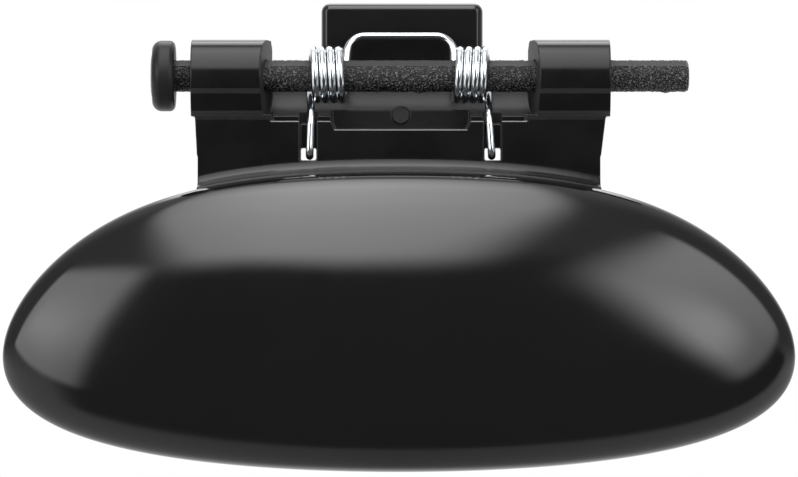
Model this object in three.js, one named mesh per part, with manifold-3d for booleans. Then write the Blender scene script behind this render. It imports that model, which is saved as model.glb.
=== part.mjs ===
// Outside car door handle: an oval pull flap that turns on a plastic pin, with a latch lever and a
// double torsion spring that shuts it.
// Millimetres. The origin is on the pin's axis, midway between the two lugs. +X runs along the pin
// to its flatted free end, +Y goes into the door, and +Z is up. The flap is modelled shut.
import * as THREE from "three";
import { mergeVertices } from "three/addons/utils/BufferGeometryUtils.js";
import Module from "manifold-3d";

const wasm = await Module();
wasm.setup();

// ---------- driving dimensions ----------
const GAP = 0.3; // between pieces that touch
const RUNNING_GAP = 0.15; // between the pin and the lugs
const DEG = Math.PI / 180;

// Flap outline seen from the front: an oval with two harmonics, which make its lower half fuller.
const FLAP_ACROSS = { half: 73.9, lean: -10.3, square: -2 };
const FLAP_UP = { middle: -45.3, half: 29.8, lean: 1.8, square: 1.35 };
const FLAP_CENTRE_Z = -50;
const FLAP_SIDES = 72;
const DOME_RINGS = 8;

// Flap, from front to back.
const COVER_RIM_Y = -13;
const COVER_BULGE = 12.5;
const COVER_WALL = 2.4;
const COVER_BACK_Y = -11.1;
const SHELL_FRONT_Y = COVER_BACK_Y + GAP;
const SHELL_FLOOR_Y = -8.8;
const SHELL_LIP_Y = -7.2;
const SHELL_INSET = 0.5;
const SHELL_LIP_WIDTH = 2.6;
const RIB_WIDTH = 1.6;
const RIB_Y = -7.6;
const RIB_SPACING = 14;
const RIB_Z = -46;

// Hinge bracket.
const LUG_RADIUS = 6.8;
const LUG_OUTER_X = { left: -39.9, right: 40.5 };
const LUG_INNER_X = { left: 25.6, right: 26.05 }; // at the pin's axis; the inner end faces lean
const LUG_LEAN = 7.4 * DEG;
const LUG_FLAT_ANGLE = -25 * DEG; // where the round front turns into the flat chin
const LUG_REAR_Y = 8.2;
const LUG_TOP_Z = 7;
const LUG_FOOT = { innerX: 24.4, top: -7.4, bottom: -7.85 }; // the ledge under a lug
const APRON_FRONT_Y = -3.4;
const APRON_BACK_Y = -0.8;
const APRON_TOP_Z = -8.7;
const APRON_HALF_WIDTH = 38.6;
const APRON_STATIONS = 12;
const FOOT_FRONT_Y = SHELL_FLOOR_Y + GAP;
const FOOT_BACK_Y = -6.2;
const FOOT_BOTTOM_Z = -34.5;
const FOOT_RISE = 0.95; // how far the foot shows above the flap's edge
const SHELF_FILLET = 1.3;
const SADDLE_RADIUS = 7.9;
const SADDLE_FRONT_Y = -1.9;
const SADDLE_BACK_Y = 9.5;
const SADDLE_HALF_WIDTH = 27;
const WINDOW = { left: -13.05, right: 13.7, z: -10.35, corner: 0.8, cornerZ: -8.9, backY: 4.5 };
const SPRING_NOTCHES = [
  { left: -19.05, right: -15.75 },
  { left: 16.3, right: 19.7 },
];
const NOTCH = { throughZ: -9.25, backY: 3.9, floorY: -2.1 };
const SPRING_HOLE = { top: -13.7, bottom: -16.1 };

// Pin, its cap and the return spring.
const PIN_RADIUS = 3;
const PIN_LEFT_X = -45.9;
const PIN_RIGHT_X = 55.7;
const PIN_FLAT = { from: 39 * DEG, to: 90 * DEG };
const CAP = { left: -47.65, right: -43, radius: 6.8, edge: 1.9 };
const WIRE_RADIUS = 0.75;
const COIL_RADIUS = 4.8;
const COIL_Z = 0.25; // the coils sit a little above the pin's axis
const COIL_TURNS = 4.125;
const COIL_LEFT = { side: -1, armX: 10.05, innerX: 10.45, pitch: 1.63, legX: 16.9, footX: 17.15 };
const COIL_RIGHT = { side: 1, armX: 10.63, innerX: 10.6, pitch: 1.61, legX: 17.25, footX: 17.8 };
const BRIDGE_Z = 7.9;
const BRIDGE_Y = 6.6; // the bridge leans back towards the lever
const BRIDGE_CORNER = 3.3;
const LEG_Y = -3.15;
const LEG_TOP_Z = -8.3;
const LEG_END_Z = -14.7;
const LEG_TAIL_Y = 1.5;

// Latch lever.
const LEVER = { left: -15.1, right: 16.3, top: 14.5, bottom: -9, front: 9.8, back: 12.4, corner: 1.7 };
const LEVER_PAD = { halfWidth: 5, bottom: 7, top: 13, back: 13.6 };
const LEVER_GUSSET = { x: 11, width: 2, depth: 3.4, top: 8 };

// Screws and bump stops.
const SCREW_RADIUS = 1.5;
const SCREW_HOLE = SCREW_RADIUS + GAP;
const SCREW_HEAD = { radius: 3.2, height: 2.2 };
const BOSS_RADIUS = 3.8;
const BOSS_SKIN = 1; // the cover's skin over a boss
const UPPER_SCREW = { x: 28, z: -28, tipY: -17.6 };
const SIDE_SCREW = { x: 51, z: -55, tipY: -18.4 };
const LEVER_SCREW = { x: 5.5, z: -5.7, tipY: 7.45 };
const STOP = { x: 36, z: -65, radius: 4.2, faceRadius: 3, stem: 1.6, stemY: -12.4, faceY: -4.6 };

// ---------- materials ----------
const plastic = (color, roughness) =>
  new THREE.MeshStandardMaterial({ color, roughness, metalness: 0 });
const glossBlack = plastic(0x0b0b0c, 0.12);
const satinBlack = plastic(0x141415, 0.4);
const roughBlack = plastic(0x1a1a1b, 0.7);
const rubberBlack = plastic(0x101010, 0.55);
const zincWire = new THREE.MeshStandardMaterial({ color: 0xd4d8da, roughness: 0.2, metalness: 1 });

// ---------- helpers ----------
const vec = (x, y, z) => new THREE.Vector3(x, y, z);

// A closed geometry as a manifold-3d solid.
function toSolid(geometry) {
  const bare = geometry.index ? geometry.toNonIndexed() : geometry.clone();
  bare.deleteAttribute("normal");
  bare.deleteAttribute("uv");
  const merged = mergeVertices(bare, 1e-4);
  const vertProperties = merged.getAttribute("position").array;
  const triVerts = new Uint32Array(merged.index.array);
  return new wasm.Manifold(new wasm.Mesh({ numProp: 3, vertProperties, triVerts }));
}

// A named mesh from a solid, for the exported group.
function toMesh(name, solid, material) {
  const { vertProperties, triVerts } = solid.getMesh();
  const geometry = new THREE.BufferGeometry();
  geometry.setAttribute("position", new THREE.BufferAttribute(vertProperties, 3));
  geometry.setIndex(new THREE.BufferAttribute(triVerts, 1));
  geometry.computeVertexNormals();
  const mesh = new THREE.Mesh(geometry, material);
  mesh.name = name;
  return mesh;
}

function extrude(outline, depth) {
  const shape = new THREE.Shape(outline.map(([u, v]) => new THREE.Vector2(u, v)));
  return new THREE.ExtrudeGeometry(shape, { depth, bevelEnabled: false });
}

// A prism along X of an outline of [y, z] points.
function prismX(outline, x0, x1) {
  const turn = new THREE.Matrix4().makeBasis(vec(0, 1, 0), vec(0, 0, 1), vec(1, 0, 0));
  return toSolid(extrude(outline, x1 - x0).applyMatrix4(turn).translate(x0, 0, 0));
}

// A prism along Y of an outline of [x, z] points.
function prismY(outline, y0, y1) {
  const turn = new THREE.Matrix4().makeBasis(vec(1, 0, 0), vec(0, 0, 1), vec(0, -1, 0));
  return toSolid(extrude(outline, y1 - y0).applyMatrix4(turn).translate(0, y1, 0));
}

function box(x0, x1, y0, y1, z0, z1) {
  const body = new THREE.BoxGeometry(x1 - x0, y1 - y0, z1 - z0);
  return toSolid(body.translate((x0 + x1) / 2, (y0 + y1) / 2, (z0 + z1) / 2));
}

function rodX(radius, x0, x1, sides = 40) {
  const body = new THREE.CylinderGeometry(radius, radius, x1 - x0, sides);
  return toSolid(body.rotateZ(Math.PI / 2).translate((x0 + x1) / 2, 0, 0));
}

function rodY(radius, x, z, y0, y1, sides = 20) {
  const body = new THREE.CylinderGeometry(radius, radius, y1 - y0, sides);
  return toSolid(body.translate(x, (y0 + y1) / 2, z));
}

// A solid of revolution about a line along Y through (x, z), from a profile of [radius, y] points.
function turnedY(profile, x, z, sides = 24) {
  const points = profile.map(([radius, y]) => new THREE.Vector2(radius, y));
  return toSolid(new THREE.LatheGeometry(points, sides).translate(x, 0, z));
}

// Points of an arc about the pin's axis, as [y, z]: angle 0 is the front and 90 degrees is the top.
function arc(radius, from, to, steps) {
  const points = [];
  for (let i = 0; i <= steps; i += 1) {
    const angle = from + ((to - from) * i) / steps;
    points.push([-radius * Math.cos(angle), radius * Math.sin(angle)]);
  }
  return points;
}

// ---------- flap ----------
// The flap's outline at a turn, as [x, z], drawn in by inset.
function flapOutline(turn, inset = 0) {
  const { sin, cos } = Math;
  const a = FLAP_ACROSS;
  const u = FLAP_UP;
  const x = a.half * cos(turn) + a.lean * sin(2 * turn) + a.square * cos(3 * turn);
  const z = u.middle + u.half * sin(turn) + u.lean * cos(2 * turn) + u.square * sin(3 * turn);
  const dx = -a.half * sin(turn) + 2 * a.lean * cos(2 * turn) - 3 * a.square * sin(3 * turn);
  const dz = u.half * cos(turn) - 2 * u.lean * sin(2 * turn) + 3 * u.square * cos(3 * turn);
  const length = Math.hypot(dx, dz);
  return [x - (inset * dz) / length, z + (inset * dx) / length];
}

// One ring round the flap: the outline drawn in by inset, shrunk by scale, at depth y.
function flapRing(inset, scale, y) {
  const points = [];
  for (let i = 0; i < FLAP_SIDES; i += 1) {
    const [x, z] = flapOutline((2 * Math.PI * i) / FLAP_SIDES, inset);
    points.push(vec(x * scale, y, FLAP_CENTRE_Z + (z - FLAP_CENTRE_Z) * scale));
  }
  return points;
}

const flapCentre = (y) => vec(0, y, FLAP_CENTRE_Z);

// The rings of the domed face, from its rim to next to its middle.
function domeRings(inset, bulge) {
  const rings = [];
  for (let i = DOME_RINGS; i > 0; i -= 1) {
    const t = (i / DOME_RINGS) * (Math.PI / 2);
    rings.push(flapRing(inset, Math.sin(t), COVER_RIM_Y - bulge * Math.cos(t)));
  }
  return rings;
}

// A closed skin through rings, from a front point to a back point.
function skinnedRings(front, rings, back) {
  const position = [front, ...rings.flat(), back].flatMap((p) => [p.x, p.y, p.z]);
  const last = position.length / 3 - 1;
  const at = (ring, i) => 1 + ring * FLAP_SIDES + (i % FLAP_SIDES);
  const index = [];
  for (let i = 0; i < FLAP_SIDES; i += 1) {
    index.push(0, at(0, i), at(0, i + 1));
    for (let r = 0; r + 1 < rings.length; r += 1) {
      index.push(at(r, i), at(r + 1, i), at(r + 1, i + 1));
      index.push(at(r, i), at(r + 1, i + 1), at(r, i + 1));
    }
    index.push(at(rings.length - 1, i), last, at(rings.length - 1, i + 1));
  }
  const geometry = new THREE.BufferGeometry();
  geometry.setAttribute("position", new THREE.Float32BufferAttribute(position, 3));
  geometry.setIndex(index);
  return toSolid(geometry);
}

// Height of the flap's upper edge at x.
function flapTopZ(x) {
  let low = 0;
  let high = 90 * DEG;
  for (let i = 0; i < 30; i += 1) {
    const turn = (low + high) / 2;
    if (flapOutline(turn)[0] > Math.abs(x)) low = turn;
    else high = turn;
  }
  return flapOutline(low)[1];
}

const mirrored = (place) => [-1, 1].map((side) => ({ ...place, x: side * place.x }));
const flapScrews = [...mirrored(UPPER_SCREW), ...mirrored(SIDE_SCREW)];

function gripCover() {
  const outside = domeRings(0, COVER_BULGE).reverse();
  const rolledEdge = [flapRing(0.35, 1, COVER_RIM_Y + 1.2), flapRing(1, 1, COVER_BACK_Y)];
  const inside = domeRings(COVER_WALL, COVER_BULGE - COVER_WALL);
  const innerEdge = flapRing(COVER_WALL, 1, COVER_BACK_Y);
  const front = flapCentre(COVER_RIM_Y - COVER_BULGE);
  const back = flapCentre(COVER_RIM_Y - COVER_BULGE + COVER_WALL);
  let cover = skinnedRings(front, [...outside, ...rolledEdge, innerEdge, ...inside], back);
  const skin = domeRings(BOSS_SKIN, COVER_BULGE - BOSS_SKIN).reverse();
  const withinSkin = skinnedRings(
    flapCentre(COVER_RIM_Y - COVER_BULGE + BOSS_SKIN),
    [...skin, flapRing(BOSS_SKIN, 1, COVER_BACK_Y)],
    flapCentre(COVER_BACK_Y),
  );
  for (const { x, z } of flapScrews) {
    cover = cover.add(rodY(BOSS_RADIUS, x, z, COVER_RIM_Y - COVER_BULGE, 0).intersect(withinSkin));
  }
  for (const { x, z, tipY } of flapScrews) {
    cover = cover.subtract(rodY(SCREW_HOLE, x, z, tipY - GAP, COVER_BACK_Y + 1, 16));
  }
  return cover;
}

function gripBackShell() {
  const rings = [
    flapRing(SHELL_INSET + 0.5, 1, SHELL_FRONT_Y),
    flapRing(SHELL_INSET, 1, SHELL_FRONT_Y + 0.6),
    flapRing(SHELL_INSET, 1, SHELL_LIP_Y - 1),
    flapRing(SHELL_INSET + 0.8, 1, SHELL_LIP_Y),
    flapRing(SHELL_INSET + SHELL_LIP_WIDTH, 1, SHELL_LIP_Y),
    flapRing(SHELL_INSET + SHELL_LIP_WIDTH + 0.3, 1, SHELL_FLOOR_Y),
  ];
  let shell = skinnedRings(flapCentre(SHELL_FRONT_Y), rings, flapCentre(SHELL_FLOOR_Y));
  const overFloor = SHELL_FLOOR_Y - 0.4;
  const inLip = skinnedRings(
    flapCentre(overFloor),
    [flapRing(SHELL_INSET + 1.5, 1, overFloor), flapRing(SHELL_INSET + 1.5, 1, RIB_Y)],
    flapCentre(RIB_Y),
  );
  const low = FLAP_UP.middle - FLAP_UP.half - 2;
  const reach = FLAP_ACROSS.half;
  let ribs = box(-reach, reach, overFloor, 0, RIB_Z, RIB_Z + RIB_WIDTH);
  for (let x = -4 * RIB_SPACING; x <= 4 * RIB_SPACING; x += RIB_SPACING) {
    ribs = ribs.add(box(x - RIB_WIDTH / 2, x + RIB_WIDTH / 2, overFloor, 0, low, RIB_Z + 1));
  }
  shell = shell.add(ribs.intersect(inLip));
  const clear = 1.2;
  const side = APRON_HALF_WIDTH + clear;
  shell = shell.subtract(box(-side, side, SHELL_FLOOR_Y, 0, FOOT_BOTTOM_Z - clear, 0));
  for (const { x, z } of mirrored(SIDE_SCREW)) {
    shell = shell.subtract(rodY(SCREW_HEAD.radius + 0.8, x, z, SHELL_FLOOR_Y, 0));
  }
  for (const { x, z } of mirrored(STOP)) {
    shell = shell.subtract(rodY(STOP.radius + 0.8, x, z, SHELL_FLOOR_Y, 0));
    shell = shell.subtract(rodY(STOP.stem + GAP, x, z, SHELL_FRONT_Y - 1, 0, 16));
  }
  for (const { x, z } of flapScrews) {
    shell = shell.subtract(rodY(SCREW_HOLE, x, z, SHELL_FRONT_Y - 1, 0, 16));
  }
  return shell;
}

// ---------- hinge bracket ----------
// The round front of a lug, its flat chin, and the block behind the pin.
function lugOutline() {
  const chin = 4.56; // length of the flat chin
  const front = arc(LUG_RADIUS, LUG_FLAT_ANGLE, 90 * DEG, 20);
  const [startY, startZ] = front[0];
  const chinY = startY + chin * Math.sin(-LUG_FLAT_ANGLE);
  const chinZ = startZ - chin * Math.cos(LUG_FLAT_ANGLE);
  const insideY = APRON_FRONT_Y + 0.4; // the lug's lower edge runs inside the apron
  return [
    [APRON_BACK_Y - 0.4, APRON_TOP_Z - 0.7],
    [insideY, APRON_TOP_Z - 0.7],
    [insideY, chinZ + chinY - insideY],
    [chinY, chinZ],
    ...front,
    [1, LUG_TOP_Z],
    [LUG_REAR_Y - 1.6, LUG_TOP_Z],
    [LUG_REAR_Y, LUG_TOP_Z - 1.6],
    [LUG_REAR_Y, -5],
    [5, -8.4],
  ];
}

function lug(side) {
  const outer = side < 0 ? -LUG_OUTER_X.left : LUG_OUTER_X.right;
  const atPin = side < 0 ? LUG_INNER_X.left : LUG_INNER_X.right;
  const shift = 12 * Math.tan(LUG_LEAN);
  const inner = atPin - shift;
  const body = side < 0 ? prismX(lugOutline(), -outer, -inner) : prismX(lugOutline(), inner, outer);
  const keep = [
    [side * (atPin + shift), -12],
    [side * (outer + 1), -12],
    [side * (outer + 1), 12],
    [side * inner, 12],
  ];
  const flat = extrude(keep, 24).translate(0, 0, -12);
  return body.intersect(toSolid(flat));
}

// The ledge that carries a lug's inner end on the apron.
function lugFoot(side) {
  const [left, right] = [side * LUG_FOOT.innerX, side * 28].sort((a, b) => a - b);
  return box(left, right, APRON_FRONT_Y, APRON_BACK_Y, APRON_TOP_Z - 0.7, LUG_FOOT.top);
}

// What lies outside the apron's slanted side under a lug.
function lugCorner(side) {
  const outer = side < 0 ? -LUG_OUTER_X.left : LUG_OUTER_X.right;
  const [topX, topZ] = [outer - 0.7, APRON_TOP_Z + 2];
  const slant = (topX - APRON_HALF_WIDTH) / (topZ + 15.3);
  const edgeX = topX + slant * (LUG_FOOT.bottom - topZ);
  const outline = [
    [side * edgeX, LUG_FOOT.bottom],
    [side * (outer + 1), LUG_FOOT.bottom],
    [side * (outer + 1), -15.3],
    [side * APRON_HALF_WIDTH, -15.3],
  ];
  return prismY(side < 0 ? outline.reverse() : outline, -12, 12);
}

// The apron's section at x, as [y, z]: down its front, out over the shelf, down the foot, and back up.
function apronSection(x) {
  const shelf = flapTopZ(x) + FOOT_RISE;
  return [
    [APRON_FRONT_Y, APRON_TOP_Z],
    [APRON_FRONT_Y, shelf + SHELF_FILLET],
    [APRON_FRONT_Y - SHELF_FILLET * 0.13, shelf + SHELF_FILLET * 0.5],
    [APRON_FRONT_Y - SHELF_FILLET * 0.5, shelf + SHELF_FILLET * 0.13],
    [APRON_FRONT_Y - SHELF_FILLET, shelf],
    [FOOT_FRONT_Y + 0.3, shelf],
    [FOOT_FRONT_Y, shelf - 0.3],
    [FOOT_FRONT_Y, FOOT_BOTTOM_Z],
    [FOOT_BACK_Y, FOOT_BOTTOM_Z],
    [FOOT_BACK_Y, shelf - 2.7],
    [FOOT_BACK_Y + 0.9, shelf - 1.9],
    [APRON_BACK_Y - 0.9, shelf - 0.7],
    [APRON_BACK_Y, shelf + 0.4],
    [APRON_BACK_Y, APRON_TOP_Z],
  ];
}

function apron() {
  const sections = [];
  const reach = APRON_HALF_WIDTH + 2;
  for (let i = 0; i <= APRON_STATIONS; i += 1) {
    const x = -reach + (2 * reach * i) / APRON_STATIONS;
    sections.push(apronSection(x).map(([y, z]) => vec(x, y, z)));
  }
  const count = sections[0].length;
  const position = sections.flat().flatMap((p) => [p.x, p.y, p.z]);
  const at = (station, i) => station * count + (i % count);
  const index = [];
  for (let s = 0; s < APRON_STATIONS; s += 1) {
    for (let i = 0; i < count; i += 1) {
      index.push(at(s, i), at(s + 1, i + 1), at(s + 1, i));
      index.push(at(s, i), at(s, i + 1), at(s + 1, i + 1));
    }
  }
  const flat = apronSection(reach).map(([y, z]) => new THREE.Vector2(y, z));
  for (const [a, b, c] of THREE.ShapeUtils.triangulateShape(flat, [])) {
    index.push(at(0, a), at(0, c), at(0, b));
    index.push(at(APRON_STATIONS, a), at(APRON_STATIONS, b), at(APRON_STATIONS, c));
  }
  const geometry = new THREE.BufferGeometry();
  geometry.setAttribute("position", new THREE.Float32BufferAttribute(position, 3));
  geometry.setIndex(index);
  const sides = prismY(
    [
      [LUG_OUTER_X.left + 0.7, APRON_TOP_Z + 2],
      [-APRON_HALF_WIDTH, -15.3],
      [-APRON_HALF_WIDTH, FOOT_BOTTOM_Z + 3],
      [-APRON_HALF_WIDTH + 3, FOOT_BOTTOM_Z],
      [APRON_HALF_WIDTH - 3, FOOT_BOTTOM_Z],
      [APRON_HALF_WIDTH, FOOT_BOTTOM_Z + 3],
      [APRON_HALF_WIDTH, -15.3],
      [LUG_OUTER_X.right - 0.7, APRON_TOP_Z + 2],
    ],
    -12,
    4,
  );
  return toSolid(geometry).intersect(sides);
}

// The trough under the pin that joins the lugs to each other and to the apron.
function saddle() {
  const start = -Math.acos(-SADDLE_FRONT_Y / SADDLE_RADIUS);
  const trough = [
    [SADDLE_FRONT_Y, APRON_TOP_Z - 1.3],
    ...arc(SADDLE_RADIUS, start, -180 * DEG, 14),
    [SADDLE_RADIUS, 1],
    [SADDLE_BACK_Y, 1],
    [SADDLE_BACK_Y, -9.5],
    [7.5, -11.6],
    [SADDLE_FRONT_Y + 0.6, -12.8],
  ];
  return prismX(trough, -SADDLE_HALF_WIDTH, SADDLE_HALF_WIDTH);
}

// What is cut away so that the middle of the trough shows from the front.
function windowCut() {
  const { left, right, z, corner, cornerZ, backY } = WINDOW;
  const outline = [
    [left, 0],
    [left, cornerZ],
    [left + corner, z],
    [right - corner, z],
    [right, cornerZ],
    [right, 0],
  ];
  return prismY(outline, -12, backY);
}

function hingeBracket() {
  let bracket = apron().add(saddle());
  for (const side of [-1, 1]) {
    bracket = bracket.add(lug(side)).add(lugFoot(side)).subtract(lugCorner(side));
  }
  bracket = bracket.subtract(windowCut());
  const { throughZ, backY, floorY } = NOTCH;
  for (const { left, right } of SPRING_NOTCHES) {
    bracket = bracket.subtract(box(left, right, -12, backY, throughZ, -3));
    bracket = bracket.subtract(box(left, right, -12, floorY, SPRING_HOLE.bottom, throughZ + 1));
    bracket = bracket.subtract(box(left, right, -12, 2, SPRING_HOLE.bottom, SPRING_HOLE.top));
  }
  const boreRadius = (PIN_RADIUS + RUNNING_GAP) / Math.cos(Math.PI / 40);
  bracket = bracket.subtract(rodX(boreRadius, -60, 60));
  for (const place of mirrored(UPPER_SCREW)) {
    bracket = bracket.subtract(rodY(SCREW_HOLE, place.x, place.z, -12, 0, 16));
  }
  for (const { x, z: screwZ, tipY } of mirrored(LEVER_SCREW)) {
    bracket = bracket.subtract(rodY(SCREW_HOLE, x, screwZ, tipY - GAP, 12, 16));
  }
  return bracket;
}

// ---------- latch lever ----------
function roundedOutline({ left, right, bottom, top, corner }) {
  const shape = new THREE.Shape();
  shape.moveTo(left, bottom);
  shape.lineTo(right, bottom);
  shape.lineTo(right, top - corner);
  shape.absarc(right - corner, top - corner, corner, 0, 90 * DEG);
  shape.lineTo(left + corner, top);
  shape.absarc(left + corner, top - corner, corner, 90 * DEG, 180 * DEG);
  return shape.getPoints(5).map((p) => [p.x, p.y]);
}

function releaseLever() {
  let lever = prismY(roundedOutline(LEVER), LEVER.front, LEVER.back);
  const pad = LEVER_PAD;
  const half = pad.halfWidth;
  lever = lever.add(box(-half, half, LEVER.back - 0.5, pad.back, pad.bottom, pad.top));
  const { x, width, depth, top } = LEVER_GUSSET;
  const gusset = [
    [LEVER.back - 0.5, LEVER.bottom],
    [LEVER.back + depth, LEVER.bottom],
    [LEVER.back + depth, LEVER.bottom + 7],
    [LEVER.back - 0.5, top],
  ];
  for (const side of [-1, 1]) {
    lever = lever.add(prismX(gusset, side * x - width / 2, side * x + width / 2));
  }
  for (const screw of mirrored(LEVER_SCREW)) {
    lever = lever.subtract(rodY(SCREW_HOLE, screw.x, screw.z, 0, 20, 16));
  }
  return lever;
}

// ---------- pin, cap and spring ----------
function hingePin() {
  const round = arc(PIN_RADIUS, PIN_FLAT.to, PIN_FLAT.from + 360 * DEG, 30);
  const chamfer = 0.6;
  const shaft = prismX(round, PIN_LEFT_X, PIN_RIGHT_X);
  const points = [
    [0, PIN_LEFT_X - 1],
    [PIN_RADIUS + 1, PIN_LEFT_X - 1],
    [PIN_RADIUS + 1, PIN_RIGHT_X - chamfer - 1],
    [PIN_RADIUS - chamfer, PIN_RIGHT_X],
    [0, PIN_RIGHT_X],
  ].map(([radius, along]) => new THREE.Vector2(radius, along));
  const envelope = new THREE.LatheGeometry(points, 32).rotateZ(-Math.PI / 2);
  return shaft.intersect(toSolid(envelope));
}

function pinCap() {
  const { left, right, radius, edge } = CAP;
  const bore = PIN_RADIUS + GAP;
  const profile = new THREE.Path();
  profile.moveTo(0, left);
  profile.lineTo(radius - edge, left);
  profile.absarc(radius - edge, left + edge, edge, -90 * DEG, 0);
  profile.absarc(radius - edge, right - edge, edge, 0, 90 * DEG);
  profile.lineTo(bore, right);
  profile.lineTo(bore, PIN_LEFT_X - GAP);
  profile.lineTo(0, PIN_LEFT_X - GAP);
  const body = new THREE.LatheGeometry(profile.getPoints(3), 28);
  return toSolid(body.rotateZ(-Math.PI / 2));
}

// Half of the spring's centre line, from the middle of the bridge to the end of the leg.
function springHalf({ side, armX, innerX, pitch, legX, footX }) {
  const points = [vec(0, BRIDGE_Y, BRIDGE_Z)];
  const lean = (BRIDGE_Y - COIL_RADIUS) / (BRIDGE_Z - COIL_Z);
  for (let i = 0; i <= 4; i += 1) {
    const turn = (i / 4) * 90 * DEG;
    const x = armX - BRIDGE_CORNER * (1 - Math.sin(turn));
    const z = BRIDGE_Z - BRIDGE_CORNER * (1 - Math.cos(turn));
    points.push(vec(side * x, COIL_RADIUS + lean * (z - COIL_Z), z));
  }
  const stepsPerTurn = 16;
  const steps = COIL_TURNS * stepsPerTurn;
  for (let i = 0; i <= steps; i += 1) {
    const turns = i / stepsPerTurn;
    const angle = -2 * Math.PI * turns;
    const x = side * (innerX + pitch * turns);
    points.push(vec(x, COIL_RADIUS * Math.cos(angle), COIL_Z + COIL_RADIUS * Math.sin(angle)));
  }
  const leg = [
    [LEG_Y + 1.5, LEG_TOP_Z + 1.15],
    [LEG_Y + 0.35, LEG_TOP_Z],
    [LEG_Y, LEG_TOP_Z - 1.1],
    [LEG_Y, LEG_END_Z + 1.1],
    [LEG_Y + 0.35, LEG_END_Z + 0.35],
    [LEG_Y + 1.1, LEG_END_Z],
    [LEG_TAIL_Y, LEG_END_Z],
  ];
  for (const [y, z] of leg) {
    const down = Math.min(1, (LEG_TOP_Z + 1.15 - z) / (LEG_TOP_Z + 1.15 - LEG_END_Z));
    points.push(vec(side * (legX + (footX - legX) * down), y, z));
  }
  return points;
}

function returnSpring() {
  const left = springHalf(COIL_LEFT).reverse();
  const right = springHalf(COIL_RIGHT).slice(1);
  const centreLine = new THREE.CatmullRomCurve3([...left, ...right], false, "centripetal");
  centreLine.arcLengthDivisions = 4000;
  const wire = new THREE.Shape().absarc(0, 0, WIRE_RADIUS, 0, 2 * Math.PI);
  const options = { steps: 180, curveSegments: 3, extrudePath: centreLine };
  return toSolid(new THREE.ExtrudeGeometry(wire, options));
}

// ---------- screws and stops ----------
// A pan-head screw whose head bears on the face at seatY and whose tip points to -Y.
function panScrew(x, z, seatY, tipY) {
  const { radius, height } = SCREW_HEAD;
  const under = seatY + GAP;
  const profile = [
    [0, tipY],
    [SCREW_RADIUS * 0.5, tipY],
    [SCREW_RADIUS, tipY + 1.2],
    [SCREW_RADIUS, under],
    [radius, under],
    [radius, under + height * 0.5],
    [radius * 0.75, under + height * 0.88],
    [0, under + height],
  ];
  const screw = turnedY(profile, x, z, 14);
  const slot = 0.45;
  const reach = radius * 0.6;
  const top = under + height;
  const floor = top - 1.1;
  const acrossX = box(x - reach, x + reach, floor, top + 1, z - slot, z + slot);
  const acrossZ = box(x - slot, x + slot, floor, top + 1, z - reach, z + reach);
  return screw.subtract(acrossX).subtract(acrossZ);
}

function bumpStop({ x, z }) {
  const { radius, faceRadius, stem, stemY, faceY } = STOP;
  const under = SHELL_FLOOR_Y + GAP;
  const profile = [
    [0, stemY],
    [stem, stemY],
    [stem, under],
    [radius, under],
    [radius, faceY - 1.4],
    [faceRadius, faceY],
    [0, faceY],
  ];
  return turnedY(profile, x, z);
}

// ---------- the assembly ----------
const handle = new THREE.Group();
handle.name = "handle";
handle.add(toMesh("grip_cover", gripCover(), glossBlack));
handle.add(toMesh("grip_back_shell", gripBackShell(), satinBlack));
handle.add(toMesh("hinge_bracket", hingeBracket(), satinBlack));
handle.add(toMesh("release_lever", releaseLever(), satinBlack));
flapScrews.forEach(({ x, z, tipY }, i) => {
  const seatY = i < 2 ? FOOT_BACK_Y : SHELL_FLOOR_Y;
  handle.add(toMesh("grip_screw_" + (i + 1), panScrew(x, z, seatY, tipY), zincWire));
});
mirrored(LEVER_SCREW).forEach(({ x, z, tipY }, i) => {
  handle.add(toMesh("lever_screw_" + (i + 1), panScrew(x, z, LEVER.back, tipY), zincWire));
});
mirrored(STOP).forEach((place, i) => {
  handle.add(toMesh(i ? "bump_stop_right" : "bump_stop_left", bumpStop(place), rubberBlack));
});

const pivot = new THREE.Group();
pivot.name = "pivot";
pivot.add(toMesh("hinge_pin", hingePin(), roughBlack));
pivot.add(toMesh("pin_cap", pinCap(), rubberBlack));
pivot.add(toMesh("return_spring", returnSpring(), zincWire));

const group = new THREE.Group();
group.add(handle, pivot);
export default group;
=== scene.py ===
"""Looks for the outside car door handle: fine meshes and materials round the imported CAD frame.

The row frame has +X along the hinge pin, +Y into the door and +Z up, with its origin on the pin's axis.
Shapes are worked out in millimetres and become metres when a mesh is made.
"""

import math

import bpy
import numpy as np
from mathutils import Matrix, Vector, noise

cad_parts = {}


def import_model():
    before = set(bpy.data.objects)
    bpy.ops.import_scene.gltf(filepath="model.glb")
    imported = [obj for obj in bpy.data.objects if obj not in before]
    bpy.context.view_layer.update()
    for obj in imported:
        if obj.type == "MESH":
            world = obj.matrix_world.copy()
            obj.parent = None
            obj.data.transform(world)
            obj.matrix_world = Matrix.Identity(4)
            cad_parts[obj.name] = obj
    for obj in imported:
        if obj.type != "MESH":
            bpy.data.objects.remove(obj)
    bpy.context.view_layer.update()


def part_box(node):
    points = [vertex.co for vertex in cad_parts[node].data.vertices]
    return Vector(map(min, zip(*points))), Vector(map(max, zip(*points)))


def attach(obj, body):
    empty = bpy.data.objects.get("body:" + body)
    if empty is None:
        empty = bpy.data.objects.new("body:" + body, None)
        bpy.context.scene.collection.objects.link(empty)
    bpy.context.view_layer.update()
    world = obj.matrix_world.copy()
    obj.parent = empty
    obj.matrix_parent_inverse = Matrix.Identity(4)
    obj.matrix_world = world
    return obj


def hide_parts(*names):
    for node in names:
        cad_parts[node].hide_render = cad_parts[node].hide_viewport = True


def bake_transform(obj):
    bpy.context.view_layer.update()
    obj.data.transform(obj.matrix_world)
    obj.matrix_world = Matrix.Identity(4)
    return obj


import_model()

MM = 0.001
DEG = math.pi / 180
GAP = 0.3  # left between touching pieces, as in the CAD model
CUT_REACH = 12  # how far most cutters reach from the pin's axis


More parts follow.
